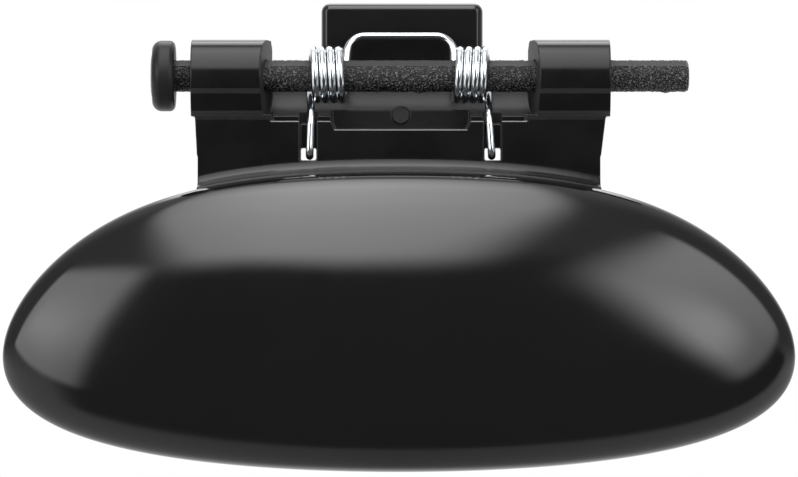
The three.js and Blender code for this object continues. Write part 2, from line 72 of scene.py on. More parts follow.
def box_mm(node):
    """Lowest and highest corner of a CAD node, in millimetres."""
    lo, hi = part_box(node)
    return lo / MM, hi / MM


COVER_LO, COVER_HI = box_mm("grip_cover")
SHELL_LO, SHELL_HI = box_mm("grip_back_shell")
BRACKET_LO, BRACKET_HI = box_mm("hinge_bracket")
LEVER_LO, LEVER_HI = box_mm("release_lever")
PIN_LO, PIN_HI = box_mm("hinge_pin")
CAP_LO, CAP_HI = box_mm("pin_cap")
GRIP_SCREWS = ("grip_screw_1", "grip_screw_2", "grip_screw_3", "grip_screw_4")
LEVER_SCREWS = ("lever_screw_1", "lever_screw_2")
STOPS = ("bump_stop_left", "bump_stop_right")


# ---------- mesh helpers ----------
def new_piece(name, points, faces):
    """A smooth-shaded mesh object from points in millimetres."""
    mesh = bpy.data.meshes.new(name)
    mesh.from_pydata((np.asarray(points, float) * MM).tolist(), [], faces)
    mesh.validate()
    mesh.polygons.foreach_set("use_smooth", [True] * len(mesh.polygons))
    mesh.update()
    piece = bpy.data.objects.new(name, mesh)
    bpy.context.scene.collection.objects.link(piece)
    return piece


def skin(name, rings, first=None, last=None):
    """A skin through closed rings of equal length, with a point or a flat face at each end."""
    count = len(rings[0])
    points = [p for ring in rings for p in ring]
    faces = []
    for r in range(len(rings) - 1):
        for i in range(count):
            j = (i + 1) % count
            a, b = r * count, (r + 1) * count
            faces.append((a + i, b + i, b + j, a + j))
    end = (len(rings) - 1) * count
    if first is None:
        faces.append(tuple(range(count)))
    else:
        points.append(first)
        faces += [(len(points) - 1, i, (i + 1) % count) for i in range(count)]
    if last is None:
        faces.append(tuple(end + i for i in reversed(range(count))))
    else:
        points.append(last)
        faces += [(len(points) - 1, end + (i + 1) % count, end + i) for i in range(count)]
    return new_piece(name, points, faces)


def prism(name, outline, axis, start, stop):
    """A prism of an outline: [y, z] points along X, or [x, z] points along Y."""
    if axis == "x":
        rings = [[(at, u, v) for u, v in outline] for at in (start, stop)]
    else:
        rings = [[(u, at, v) for u, v in outline] for at in (start, stop)]
    return outward(skin(name, rings))


def block(name, x, y, z):
    """A box between pairs of limits."""
    outline = [(y[0], z[0]), (y[1], z[0]), (y[1], z[1]), (y[0], z[1])]
    return prism(name, outline, "x", x[0], x[1])


def turned(name, profile, axis, centre, sides=96):
    """A solid of revolution of [radius, along] points about a line along X or Y."""
    rings = []
    for radius, along in profile:
        ring = []
        for i in range(sides):
            turn = 2 * math.pi * i / sides
            u, v = radius * math.cos(turn), radius * math.sin(turn)
            if axis == "x":
                ring.append((along, centre[0] + u, centre[1] + v))
            else:
                ring.append((centre[0] + u, along, centre[1] + v))
        rings.append(ring)
    ends = []
    for _, along in (profile[0], profile[-1]):
        tip = (along, *centre) if axis == "x" else (centre[0], along, centre[1])
        ends.append(tip)
    return outward(skin(name, rings, ends[0], ends[1]))


def outward(piece):
    """Turns a closed mesh's faces out."""
    mesh = piece.data
    mesh.calc_loop_triangles()
    volume = 0.0
    for tri in mesh.loop_triangles:
        a, b, c = (mesh.vertices[i].co for i in tri.vertices)
        volume += a.dot(b.cross(c))
    if volume < 0:
        mesh.flip_normals()
    return piece


def applied(piece):
    """Bakes a piece's modifiers into its mesh."""
    graph = bpy.context.evaluated_depsgraph_get()
    mesh = bpy.data.meshes.new_from_object(piece.evaluated_get(graph))
    piece.modifiers.clear()
    piece.data = mesh
    return piece


def joined(target, *others, cut=False):
    """Adds other solids to target, or cuts them out of it."""
    for other in others:
        step = target.modifiers.new("solid", "BOOLEAN")
        step.solver = "EXACT"
        step.operation = "DIFFERENCE" if cut else "UNION"
        step.object = other
        applied(target)
        bpy.data.objects.remove(other)
    return target


def moulded(piece, voxel, passes):
    """Rounds every edge a little, as a mould does: a fine remesh, then smoothing."""
    step = piece.modifiers.new("remesh", "REMESH")
    step.mode = "VOXEL"
    step.voxel_size = voxel * MM
    step.use_smooth_shade = True
    step = piece.modifiers.new("smooth", "SMOOTH")
    step.factor = 0.5
    step.iterations = passes
    applied(piece)
    piece.data.polygons.foreach_set("use_smooth", [True] * len(piece.data.polygons))
    return piece


def arc(radius, start, stop, steps, centre=(0.0, 0.0)):
    """Points of an arc; angle 0 points along the first axis and 90 degrees along the second."""
    points = []
    for i in range(steps + 1):
        turn = (start + (stop - start) * i / steps) * DEG
        points.append((centre[0] + radius * math.cos(turn), centre[1] + radius * math.sin(turn)))
    return points


def rounded(corners, steps=6):
    """An outline whose corners, given as (u, v, radius), become arcs."""
    points = []
    for i, (u, v, radius) in enumerate(corners):
        if radius == 0:
            points.append((u, v))
            continue
        here = Vector((u, v))
        before = (Vector(corners[i - 1][:2]) - here).normalized()
        after = (Vector(corners[(i + 1) % len(corners)][:2]) - here).normalized()
        half = before.angle(after) / 2
        reach = radius / math.tan(half)
        middle = here + (before + after).normalized() * (radius / math.sin(half))
        first = here + before * reach - middle
        last = here + after * reach - middle
        sweep = first.angle_signed(last)
        for s in range(steps + 1):
            turn = -sweep * s / steps
            c, d = math.cos(turn), math.sin(turn)
            points.append((middle.x + first.x * c - first.y * d, middle.y + first.x * d + first.y * c))
    return points


# ---------- flap ----------
FLAP_ACROSS = (73.9, -10.3, -2.0)
FLAP_UP = (-45.3, 29.8, 1.8, 1.35)
FLAP_CENTRE_Z = -50.0
FLAP_SIDES = 288
COVER_WALL = 2.4
COVER_RIM_Y = -13.0
COVER_BULGE = COVER_RIM_Y - COVER_LO.y


def flap_outline(turn, inset=0.0):
    """The flap's outline at an angle, as x and z, drawn in by inset."""
    c1, c2, c3 = FLAP_ACROSS
    z0, s1, s2, s3 = FLAP_UP
    x = c1 * math.cos(turn) + c2 * math.sin(2 * turn) + c3 * math.cos(3 * turn)
    z = z0 + s1 * math.sin(turn) + s2 * math.cos(2 * turn) + s3 * math.sin(3 * turn)
    dx = -c1 * math.sin(turn) + 2 * c2 * math.cos(2 * turn) - 3 * c3 * math.sin(3 * turn)
    dz = s1 * math.cos(turn) - 2 * s2 * math.sin(2 * turn) + 3 * s3 * math.cos(3 * turn)
    length = math.hypot(dx, dz)
    return x - inset * dz / length, z + inset * dx / length


def flap_ring(inset, scale, y, sides=FLAP_SIDES):
    """The flap's outline as a ring of points at depth y, drawn in by inset and scaled about its centre."""
    ring = []
    for i in range(sides):
        x, z = flap_outline(2 * math.pi * i / sides, inset)
        ring.append((x * scale, y, FLAP_CENTRE_Z + (z - FLAP_CENTRE_Z) * scale))
    return ring


def flap_top(x):
    """Height of the flap's upper edge at x."""
    low, high = 0.0, math.pi / 2
    for _ in range(30):
        turn = (low + high) / 2
        if flap_outline(turn)[0] > abs(x):
            low = turn
        else:
            high = turn
    return flap_outline(low)[1]


def dome_rings(inset, bulge, steps):
    """Rings of the domed face, from near its middle out to its rim."""
    rings = []
    for i in range(1, steps + 1):
        t = i / steps * math.pi / 2
        rings.append(flap_ring(inset, math.sin(t), COVER_RIM_Y - bulge * math.cos(t)))
    return rings


def grip_cover():
    """The glossy shell: a dome with a rolled rim, hollow behind."""
    back = COVER_HI.y
    roll = []
    for i in range(1, 9):
        turn = i / 8 * math.pi / 2
        y = COVER_RIM_Y + (back - COVER_RIM_Y) * math.sin(turn)
        roll.append(flap_ring(1.0 - math.cos(turn), 1.0, y))
    outside = dome_rings(0.0, COVER_BULGE, 56)
    inside = dome_rings(COVER_WALL, COVER_BULGE - COVER_WALL, 20)[::-1]
    rings = [*outside, *roll, flap_ring(COVER_WALL, 1.0, back), *inside]
    front = (0.0, COVER_LO.y, FLAP_CENTRE_Z)
    hollow = (0.0, COVER_LO.y + COVER_WALL, FLAP_CENTRE_Z)
    return outward(skin("cover_shell", rings, front, hollow))


# ---------- back shell ----------
SHELL_FLOOR_Y = -8.8
SHELL_INSET = 0.5
LIP_WIDTH = 2.6
RIB_WIDTH = 1.6
RIB_Y = -7.6
RIB_SPACING = 14.0
RIB_Z = -46.0
SHELL_HOLE_RADIUS = 1.85
APRON_HALF_WIDTH = 38.6


def centre_of(node):
    """Middle of a CAD node, in millimetres."""
    lo, hi = box_mm(node)
    return (lo + hi) / 2


def drill(node, radius, start, stop, sides=32):
    """A round cutter along Y, centred on a CAD node."""
    middle = centre_of(node)
    return turned("hole", [(radius, start), (radius, stop)], "y", (middle.x, middle.z), sides)


def back_shell():
    """The inner shell: a tray with a rolled lip, stiffening ribs and seats for screws and stops."""
    sides = 192
    edge = [
        (SHELL_INSET + 0.5, SHELL_LO.y),
        (SHELL_INSET, SHELL_LO.y + 0.5),
        (SHELL_INSET, SHELL_HI.y - 0.9),
        (SHELL_INSET + 0.25, SHELL_HI.y - 0.3),
        (SHELL_INSET + 0.9, SHELL_HI.y),
        (SHELL_INSET + LIP_WIDTH - 0.5, SHELL_HI.y),
        (SHELL_INSET + LIP_WIDTH, SHELL_HI.y - 0.4),
        (SHELL_INSET + LIP_WIDTH + 0.3, SHELL_FLOOR_Y),
    ]
    rings = [flap_ring(inset, 1.0, y, sides) for inset, y in edge]
    middle = (0.0, SHELL_LO.y, FLAP_CENTRE_Z)
    hollow = (0.0, SHELL_FLOOR_Y, FLAP_CENTRE_Z)
    shell = outward(skin("back_shell", rings, middle, hollow))
    under = SHELL_FLOOR_Y - 0.6
    rib_rings = [flap_ring(SHELL_INSET + 1.5, 1.0, y, sides) for y in (under, RIB_Y)]
    within = outward(skin("within", rib_rings))
    low, half = SHELL_LO.z, RIB_WIDTH / 2
    ribs = block("ribs", (SHELL_LO.x, SHELL_HI.x), (under - 1, 0), (RIB_Z, RIB_Z + RIB_WIDTH))
    for i in range(-4, 5):
        x = i * RIB_SPACING
        joined(ribs, block("rib", (x - half, x + half), (under - 1, 0), (low - 2, RIB_Z + 1)))
    overlap(ribs, within)
    joined(shell, ribs)
    reach = APRON_HALF_WIDTH + 1.2
    foot = block("foot", (-reach, reach), (SHELL_FLOOR_Y, 0), (BRACKET_LO.z - 1.2, 0))
    joined(shell, foot, cut=True)
    for name in (*GRIP_SCREWS[2:], *STOPS):
        lo, hi = box_mm(name)
        seat = drill(name, (hi.x - lo.x) / 2 + 0.8, SHELL_FLOOR_Y, 0, 48)
        joined(shell, seat, cut=True)
    for name in (*GRIP_SCREWS, *STOPS):
        joined(shell, drill(name, SHELL_HOLE_RADIUS, -14, 0), cut=True)
    return moulded(shell, 0.32, 4)


def overlap(target, other):
    """Keeps only what two solids share."""
    step = target.modifiers.new("solid", "BOOLEAN")
    step.solver = "EXACT"
    step.operation = "INTERSECT"
    step.object = other
    applied(target)
    bpy.data.objects.remove(other)
    return target


# ---------- hinge bracket ----------
LUG_RADIUS = 6.8
LUG_INNER_X = {-1: 25.6, 1: 26.05}
LUG_LEAN = math.tan(7.4 * DEG)
LUG_CHIN = 4.56
LUG_REAR_Y = 8.2
LUG_FOOT_X = 24.4
LUG_FOOT_TOP_Z = -7.4
LUG_BOTTOM_Z = -7.85
APRON_FRONT_Y = -3.4
APRON_BACK_Y = -0.8
APRON_TOP_Z = -8.7
FOOT_RISE = 0.55
FOOT_LEAN = 0.35
FOOT_BACK_Y = -6.2
SIDE_STEP_Z = -15.3
SHELF_FILLET = 2.5
SADDLE_RADIUS = 7.9
SADDLE_FRONT_Y = -1.9
SADDLE_HALF_WIDTH = 27.0
WINDOW_X = (-13.05, 13.7)
WINDOW_Z = -10.35
WINDOW_CORNER = (0.8, -8.9)
WINDOW_BACK_Y = 4.5
NOTCHES = ((-19.05, -15.75), (16.3, 19.7))
NOTCH_THROUGH_Z = -9.25
NOTCH_BACK_Y = 3.9
GROOVE_FLOOR_Y = -2.1
HOLE_Z = (-16.25, -13.91)
SLEEVE_BACK_Y = 5.0
HOLE_INSET = 0.13
EJECTOR_MARK = (0.35, -7.4)
EJECTOR_RADIUS = 1.65
PIN_RADIUS = (PIN_HI.z - PIN_LO.z) / 2
RUNNING_GAP = 0.15
SCREW_HOLE_RADIUS = 1.8


def lug(side):
    """One hinge lug: a round front, a flat chin and a block behind the pin."""
    front = arc(LUG_RADIUS, 205, 90, 72)
    y, z = front[0]
    chin = (y + LUG_CHIN * math.sin(25 * DEG), z - LUG_CHIN * math.cos(25 * DEG))
    inside = APRON_FRONT_Y
    outline = [
        (APRON_BACK_Y - 0.4, APRON_TOP_Z - 0.7),
        (inside, APRON_TOP_Z - 0.7),
        (inside, chin[1] + chin[0] - inside),
        chin,
        *front,
        (1.0, BRACKET_HI.z),
        (LUG_REAR_Y - 1.6, BRACKET_HI.z),
        (LUG_REAR_Y, BRACKET_HI.z - 1.6),
        (LUG_REAR_Y, -5.0),
        (5.0, -8.4),
    ]
    outer = -BRACKET_LO.x if side < 0 else BRACKET_HI.x
    inner = LUG_INNER_X[side]
    shift = CUT_REACH * LUG_LEAN
    limits = sorted((side * outer, side * (inner - shift)))
    body = prism("lug", outline, "x", *limits)
    corners = [
        (side * (inner + shift), -CUT_REACH),
        (side * (inner - shift), CUT_REACH),
        (side * (inner - CUT_REACH), CUT_REACH),
        (side * (inner - CUT_REACH), -CUT_REACH),
    ]
    rings = [[(x, y, z) for x, y in corners] for z in (-14, 14)]
    return joined(body, outward(skin("lean", rings)), cut=True)


def lug_foot(side):
    """The ledge that carries a lug's inner end on the apron."""
    x = sorted((side * LUG_FOOT_X, side * 28))
    return block("lug_foot", x, (APRON_FRONT_Y, APRON_BACK_Y), (APRON_TOP_Z - 0.7, LUG_FOOT_TOP_Z))


def lug_corner(side):
    """What lies outside the apron's slanted side under a lug."""
    outer = -BRACKET_LO.x if side < 0 else BRACKET_HI.x
    top, low = (outer - 0.7, APRON_TOP_Z + 2), (APRON_HALF_WIDTH + 0.15, SIDE_STEP_Z)
    slant = (top[0] - low[0]) / (top[1] - low[1])
    edge = top[0] + slant * (LUG_BOTTOM_Z - top[1])
    outline = [
        (side * edge, LUG_BOTTOM_Z),
        (side * (outer + 1), LUG_BOTTOM_Z),
        (side * (outer + 1), low[1]),
        (side * low[0], low[1]),
    ]
    return prism("corner", outline, "y", -CUT_REACH, CUT_REACH)


def apron_section(x):
    """The apron's section at x, as y and z: its front, the shelf over the flap, the foot and the back."""
    shelf = flap_top(x) + FOOT_RISE
    front, back = APRON_FRONT_Y, APRON_BACK_Y
    foot = BRACKET_LO.y
    return rounded(
        [
            (front, APRON_TOP_Z, 0),
            (front, shelf, SHELF_FILLET),
            (foot + FOOT_LEAN, shelf, 0.3),
            (foot, shelf - 1.3, 0.5),
            (foot, BRACKET_LO.z, 0),
            (FOOT_BACK_Y, BRACKET_LO.z, 0),
            (FOOT_BACK_Y, shelf - 2.1, 0.8),
            (back, shelf - 0.5, 1.2),
            (back, APRON_TOP_Z, 0),
        ],
        10,
    )


def apron():
    """The plate under the lugs, which steps forward over the flap's upper edge."""
    reach = APRON_HALF_WIDTH + 2
    steps = 40
    rings = []
    for i in range(steps + 1):
        x = -reach + 2 * reach * i / steps
        rings.append([(x, y, z) for y, z in apron_section(x)])
    half, low, high = APRON_HALF_WIDTH, BRACKET_LO.z, APRON_TOP_Z + 2
    outline = [
        (BRACKET_LO.x + 0.7, high),
        (-half - 0.15, SIDE_STEP_Z),
        (-half, SIDE_STEP_Z - 0.2),
        (-half, low + 3),
        (-half + 3, low),
        (half - 3, low),
        (half, low + 3),
        (half, SIDE_STEP_Z - 0.2),
        (half + 0.15, SIDE_STEP_Z),
        (BRACKET_HI.x - 0.7, high),
    ]
    plate = outward(skin("apron", rings))
    return overlap(plate, prism("sides", outline, "y", -CUT_REACH, 4))


def saddle():
    """The trough under the pin that joins the lugs."""
    start = 180 + math.degrees(math.acos(-SADDLE_FRONT_Y / SADDLE_RADIUS))
    trough = [
        (SADDLE_FRONT_Y, APRON_TOP_Z - 1.3),
        *arc(SADDLE_RADIUS, start, 360, 48),
        (SADDLE_RADIUS, 1.0),
        (BRACKET_HI.y, 1.0),
        (BRACKET_HI.y, -9.5),
        (7.5, -11.6),
        (SADDLE_FRONT_Y + 0.6, -12.8),
    ]
    return prism("saddle", trough, "x", -SADDLE_HALF_WIDTH, SADDLE_HALF_WIDTH)


def bracket_cuts():
    """The window under the pin, the spring's notches and holes, the bore and the screw holes."""
    left, right = WINDOW_X
    step, rise = WINDOW_CORNER
    window = [
        (left, 0),
        (left, rise),
        (left + step, WINDOW_Z),
        (right - step, WINDOW_Z),
        (right, rise),
        (right, 0),
    ]
    cuts = [prism("window", window, "y", -CUT_REACH, WINDOW_BACK_Y)]
    # The apron's upper edge stands clear of the trough's front, so that it catches the light alone.
    lip = (APRON_FRONT_Y + 0.8, SADDLE_FRONT_Y)
    cuts.append(block("lip", (-24, 24), lip, (APRON_TOP_Z - 0.6, APRON_TOP_Z + 1)))
    for x in NOTCHES:
        middle = (x[0] + HOLE_INSET, x[1] - HOLE_INSET)
        cuts.append(block("notch", x, (-CUT_REACH, NOTCH_BACK_Y), (NOTCH_THROUGH_Z, -3)))
        groove = (HOLE_Z[0], NOTCH_THROUGH_Z + 1)
        cuts.append(block("groove", x, (-CUT_REACH, GROOVE_FLOOR_Y), groove))
        cuts.append(block("hole", middle, (-CUT_REACH, SLEEVE_BACK_Y + 1), HOLE_Z))
    bore = PIN_RADIUS + RUNNING_GAP
    cuts.append(turned("bore", [(bore, -60), (bore, 60)], "x", (0, 0), 96))
    cuts += [drill(name, SCREW_HOLE_RADIUS, -CUT_REACH, 0) for name in GRIP_SCREWS[:2]]
    cuts += [drill(name, SCREW_HOLE_RADIUS, 7.15, 14) for name in LEVER_SCREWS]
    return cuts


def bracket():
    """The hinge bracket: apron, lugs and saddle in one moulding."""
    body = joined(apron(), lug(-1), lug(1), lug_foot(-1), lug_foot(1), saddle())
    for left, right in NOTCHES:
        low, high = HOLE_Z
        depth = (APRON_BACK_Y - 0.5, SLEEVE_BACK_Y)
        sleeve = block("sleeve", (left - 1, right + 1), depth, (low - 0.9, high + 1.2))
        joined(body, sleeve)
    joined(body, *bracket_cuts(), lug_corner(-1), lug_corner(1), cut=True)
    face = WINDOW_BACK_Y
    mark = [
        (0.001, face - 0.28),
        (1.2, face - 0.28),
        (1.28, face - 0.15),
        (1.4, face - 0.15),
        (1.48, face - 0.4),
        (EJECTOR_RADIUS, face - 0.4),
        (EJECTOR_RADIUS, face + 0.9),
        (0.001, face + 0.9),
    ]
    joined(body, turned("mark", mark, "y", EJECTOR_MARK, 48))
    body.name = "bracket_moulding"
    return moulded(body, 0.17, 1)


# ---------- latch lever ----------
LEVER_BACK_Y = 12.4
LEVER_EDGE = (1.3, 2.0)  # how far its rounded edge reaches in and back
PAD_X = (-5, 5)
PAD_Z = (7, 13)
PAD_FACE_Y = 13.6
GUSSET_X = 11


def lever():
    """The latch lever: a plate with rounded edges, a push pad and two gussets behind."""
    lo, hi = LEVER_LO, LEVER_HI
    profile = []
    for i in range(13):
        turn = i / 12 * math.pi / 2
        inset = LEVER_EDGE[0] * (1 - math.sin(turn))
        profile.append((inset, lo.y + LEVER_EDGE[1] * (1 - math.cos(turn))))
    profile += [(0.0, LEVER_BACK_Y - 0.3), (0.3, LEVER_BACK_Y)]
    rings = []
    for inset, y in profile:
        x0, x1, z0, z1 = lo.x + inset, hi.x - inset, lo.z + inset * 0.3, hi.z - inset
        top = max(0.5, 1.7 - inset)
        outline = rounded([(x0, z0, 0.3), (x1, z0, 0.3), (x1, z1, top), (x0, z1, top)], 8)
        rings.append([(x, y, z) for x, z in outline])
    plate = outward(skin("lever_plate", rings))
    pad = block("pad", PAD_X, (LEVER_BACK_Y - 0.6, PAD_FACE_Y), PAD_Z)
    joined(plate, pad)
    gusset = [
        (LEVER_BACK_Y - 0.6, lo.z + 0.3),
        (hi.y, lo.z + 0.3),
        (hi.y, lo.z + 7),
        (LEVER_BACK_Y - 0.6, 8.0),
    ]
    for x in (-GUSSET_X, GUSSET_X):
        joined(plate, prism("gusset", gusset, "x", x - 1, x + 1))
    for name in LEVER_SCREWS:
        joined(plate, drill(name, SCREW_HOLE_RADIUS, 0, 20), cut=True)
    return moulded(plate, 0.18, 2)


# ---------- pin and cap ----------
PIN_FLAT = (36.0, 90.0)
PIN_GRAIN = 0.15
PIN_CHAMFER = 0.9
GATE_MARKS = ((3.9, -76.0, 0.8, 0.42), (3.4, -30.0, 0.5, 0.14), (51.2, -78.0, 0.9, 0.3))


def pin_radius(angle):
    """Radius of the pin's section; angle 0 is the front and 90 degrees the top."""
    middle = sum(PIN_FLAT) / 2
    half = (PIN_FLAT[1] - PIN_FLAT[0]) / 2
    off = abs((angle - middle + 180) % 360 - 180)
    if off >= half:
        return PIN_RADIUS
    return PIN_RADIUS * math.cos(half * DEG) / math.cos(off * DEG)


def gate_marks(x, angle):
    """Height of the pin's moulding gate stubs; angle runs from -180 to 180 degrees."""
    height = 0.0
    for at, turn, width, rise in GATE_MARKS:
        across = (angle - turn) * DEG * PIN_RADIUS
        height += rise * math.exp(-(((x - at) ** 2 + across**2) / width**2))
    return height


def pin_ring(x, sides):
    """One ring of the pin, with a spark-eroded grain everywhere but on the flat."""
    left = min(1.0, (PIN_HI.x - x) / PIN_CHAMFER)
    shrink = PIN_CHAMFER * (1 - math.sqrt(max(0.0, 1 - (1 - left) ** 2)))
    ring = []
    for k in range(sides):
        angle = 360 * k / sides
        smooth = pin_radius(angle)
        y, z = -math.cos(angle * DEG), math.sin(angle * DEG)
        place = Vector((x, y * PIN_RADIUS, z * PIN_RADIUS))
        rough = noise.noise(place * 3.1) + 0.7 * noise.noise(place * 5.9)
        flat = PIN_RADIUS - smooth
        depth = PIN_GRAIN * (0.12 if flat > 0.001 else 1.0) * (rough - 0.1)
        groove = 0.22 * math.exp(-(((angle - PIN_FLAT[0]) / 2.0) ** 2))
        signed = (angle + 180) % 360 - 180
        radius = smooth - shrink + depth - groove + gate_marks(x, signed)
        ring.append((x, y * radius, z * radius))
    return ring


def pin():
    """The hinge pin, with a flat along its upper front and a rounded free end."""
    step = 0.12
    count = int((PIN_HI.x - PIN_LO.x) / step)
    length = PIN_HI.x - PIN_LO.x
    rings = [pin_ring(PIN_LO.x + length * i / count, 240) for i in range(count + 1)]
    return outward(skin("pin_shaft", rings))


def cap():
    """The soft head on the pin's left end."""
    radius = CAP_HI.z
    left, right = CAP_LO.x, CAP_HI.x
    bore = PIN_RADIUS + GAP
    profile = [
        (0.001, left + 0.35),
        (1.5, left + 0.35),
        (1.9, left + 0.02),
        (3.6, left + 0.05),
        (radius - 1.9, left + 0.32),
        *[(r, x) for x, r in arc(1.9, 160, 90, 10, (left + 2.1, radius - 1.9))],
        *[(r, x) for x, r in arc(1.1, 90, 0, 12, (right - 1.1, radius - 1.1))],
        (radius - 1.5, right - 0.08),
        (radius - 2.4, right - 0.35),
        (bore + 0.25, right - 0.35),
        (bore, right - 0.6),
        (bore, PIN_LO.x - GAP),
        (0.001, PIN_LO.x - GAP),
    ]
    return turned("cap_head", profile, "x", (0, 0), 128)


# ---------- return spring ----------
WIRE_RADIUS = 0.75
COIL_RADIUS = 4.8
COIL_Z = 0.25
COIL_TURNS = 4.125
COILS = (
    {"side": -1, "arm": 10.05, "inner": 10.45, "pitch": 1.63, "leg": 16.9, "foot": 17.15},
    {"side": 1, "arm": 10.63, "inner": 10.6, "pitch": 1.61, "leg": 17.25, "foot": 17.8},
)
BRIDGE_Z = 7.9
BRIDGE_Y = 6.6
BRIDGE_CORNER = 3.3
LEG_Y = -3.15
LEG_TOP_Z = -8.3
LEG_END_Z = -15.4
LEG_TAIL_Y = 1.5


def spring_half(side, arm, inner, pitch, leg, foot):
    """Half of the wire's centre line, from the bridge's middle out, with each point's share of winding."""
    points = [(0.0, BRIDGE_Y, BRIDGE_Z, 0.0)]
    lean = (BRIDGE_Y - COIL_RADIUS) / (BRIDGE_Z - COIL_Z)
    for i in range(13):
        turn = i / 12 * math.pi / 2
        x = arm - BRIDGE_CORNER * (1 - math.sin(turn))
        z = BRIDGE_Z - BRIDGE_CORNER * (1 - math.cos(turn))
        points.append((side * x, COIL_RADIUS + lean * (z - COIL_Z), z, 0.0))
    steps = round(COIL_TURNS * 48)
    for i in range(steps + 1):
        turns = COIL_TURNS * i / steps
        turn = 2 * math.pi * turns
        x = side * (inner + pitch * turns)
        y, z = COIL_RADIUS * math.cos(turn), COIL_Z - COIL_RADIUS * math.sin(turn)
        points.append((x, y, z, turns / COIL_TURNS))
    top = LEG_TOP_Z + 1.15
    path = [
        (LEG_Y + 1.5, top),
        *arc(1.6, 215, 180, 4, (LEG_Y + 1.6, LEG_TOP_Z - 0.7)),
        *arc(1.5, 180, 270, 8, (LEG_Y + 1.5, LEG_END_Z + 1.5)),
        (LEG_TAIL_Y, LEG_END_Z),
    ]
    for y, z in path:
        down = min(1.0, (top - z) / (top - LEG_END_Z))
        points.append((side * (leg + (foot - leg) * down), y, z, 1.0))
    return points


def smooth_line(points, step):
    """A centripetal Catmull-Rom line through points, sampled about every step."""
    p = np.array(points, float)
    p = np.vstack([2 * p[0] - p[1], p, 2 * p[-1] - p[-2]])
    line = []
    for i in range(1, len(p) - 2):
        a, b, c, d = p[i - 1 : i + 3]
        span = [max(1e-6, np.linalg.norm((v - u)[:3])) ** 0.5 for u, v in ((a, b), (b, c), (c, d))]
        m1 = (c - b) - span[1] * ((c - a) / (span[0] + span[1]) - (b - a) / span[0])
        m2 = (c - b) - span[1] * ((d - b) / (span[1] + span[2]) - (d - c) / span[2])
        count = max(1, round(np.linalg.norm((c - b)[:3]) / step))
        for k in range(count):
            t = k / count
            h = (2 * t**3 - 3 * t**2 + 1, t**3 - 2 * t**2 + t, -2 * t**3 + 3 * t**2, t**3 - t**2)
            line.append(h[0] * b + h[1] * m1 + h[2] * c + h[3] * m2)
    line.append(p[-2])
    return np.array(line)


def spring():
    """The double torsion spring, swept in one length of wire."""
    left, right = (spring_half(**coil) for coil in COILS)
    line = smooth_line(left[::-1] + right[1:], 0.3)
    centre, winding = line[:, :3], np.clip(line[:, 3], 0, 1)
    tangent = np.gradient(centre, axis=0)
    tangent /= np.linalg.norm(tangent, axis=1)[:, None]
    normal = np.cross(tangent[0], (1.0, 0.0, 0.0))
    sides = 20
    rings = []
    for point, along in zip(centre, tangent):
        normal = normal - along * (normal @ along)
        normal /= np.linalg.norm(normal)
        across = np.cross(along, normal)
        turn = 2 * np.pi * np.arange(sides) / sides
        ring = point + WIRE_RADIUS * (
            np.cos(turn)[:, None] * normal + np.sin(turn)[:, None] * across
        )
        rings.append([tuple(p) for p in ring])
    wire = outward(skin("spring_wire", rings))
    return wire, np.repeat(winding, sides)


# ---------- screws and stops ----------
SCREW_RADIUS = 1.5


def screw(node):
    """A pan-head screw with a cross recess."""
    lo, hi = box_mm(node)
    middle = (lo + hi) / 2
    radius, height = (hi.x - lo.x) / 2 + 0.1, 2.2
    under, top = hi.y - height, hi.y
    profile = [
        (0.001, lo.y),
        (0.5, lo.y),
        (SCREW_RADIUS, lo.y + 1.4),
        (SCREW_RADIUS, under - 0.25),
        (SCREW_RADIUS + 0.25, under),
        (radius - 0.2, under),
        (radius, under + 0.2),
        (radius, under + 0.9),
        *[(r, y) for r, y in arc(1.0, 0, 60, 8, (radius - 1.0, under + 0.95))],
        (radius * 0.42, top - 0.06),
        (0.001, top),
    ]
    centre = (middle.x, middle.z)
    body = turned("screw_" + node, profile, "y", centre, 72)
    for turn in (0.35, 0.35 + math.pi / 2):
        c, s = math.cos(turn), math.sin(turn)
        rings = []
        for y, reach, half in ((top - 1.5, 0.85, 0.36), (top + 0.2, 2.05, 0.56)):
            corners = ((-reach, -half), (reach, -half), (reach, half), (-reach, half))
            rings.append(
                [(centre[0] + u * c - v * s, y, centre[1] + u * s + v * c) for u, v in corners]
            )
        joined(body, outward(skin("recess", rings)), cut=True)
    return moulded(body, 0.11, 2)


def stop(node):
    """A rubber stop: a stepped button with a dished face."""
    lo, hi = box_mm(node)
    middle = (lo + hi) / 2
    radius = (hi.x - lo.x) / 2
    under = SHELL_FLOOR_Y + GAP
    profile = [
        (0.001, lo.y),
        (1.1, lo.y),
        (1.6, lo.y + 0.6),
        (1.6, under),
        (radius - 0.3, under),
        (radius, under + 0.3),
        *[(r, y) for r, y in arc(1.2, 0, 90, 8, (radius - 1.2, hi.y - 1.25))],
        (2.4, hi.y),
        (2.2, hi.y - 0.12),
        (1.0, hi.y - 0.12),
        (0.8, hi.y),
        (0.001, hi.y),
    ]
    return turned("stop_" + node, profile, "y", (middle.x, middle.z), 96)


# ---------- materials ----------
# Where the satin black changes: each pair is the two places that a change runs between.
LEDGE_TOP_Z = (-6.7, -7.0)
LEDGE_LOW_Z = (-8.6, -8.4)
SHELF_FRONT_Y = (-6.0, -7.0)
SHELF_X = (12, 25)
SHELF_LOW_Z = (-26, -25)
FILLET_TOP_Z = (-13, -14)
# Limits of the painted highlight on the fillet: how far forward it runs and where it fades along x.
FILLET_HIGHLIGHT_FRONT_Y = (-6.0, -5.4)
FILLET_HIGHLIGHT_X = (14, 26)
WALL_DEPTH_Y = (3.6, 3.8)
# Where the painted highlights on the apron's edges begin, from the front.
EDGE_FRONT_Y = (-2.75, -3.0)
BAND_FRONT_Y = (-5.2, -5.4)
BAND_Z = -3.05  # middle of the band on the lugs with a painted reflection
BAND_HALF = 0.4


def material(name):
    """A new node material, with its tree and its principled shader."""
    made = bpy.data.materials.new(name)
    made.use_nodes = True
    tree = made.node_tree
    shader = tree.nodes["Principled BSDF"]
    return made, tree, shader


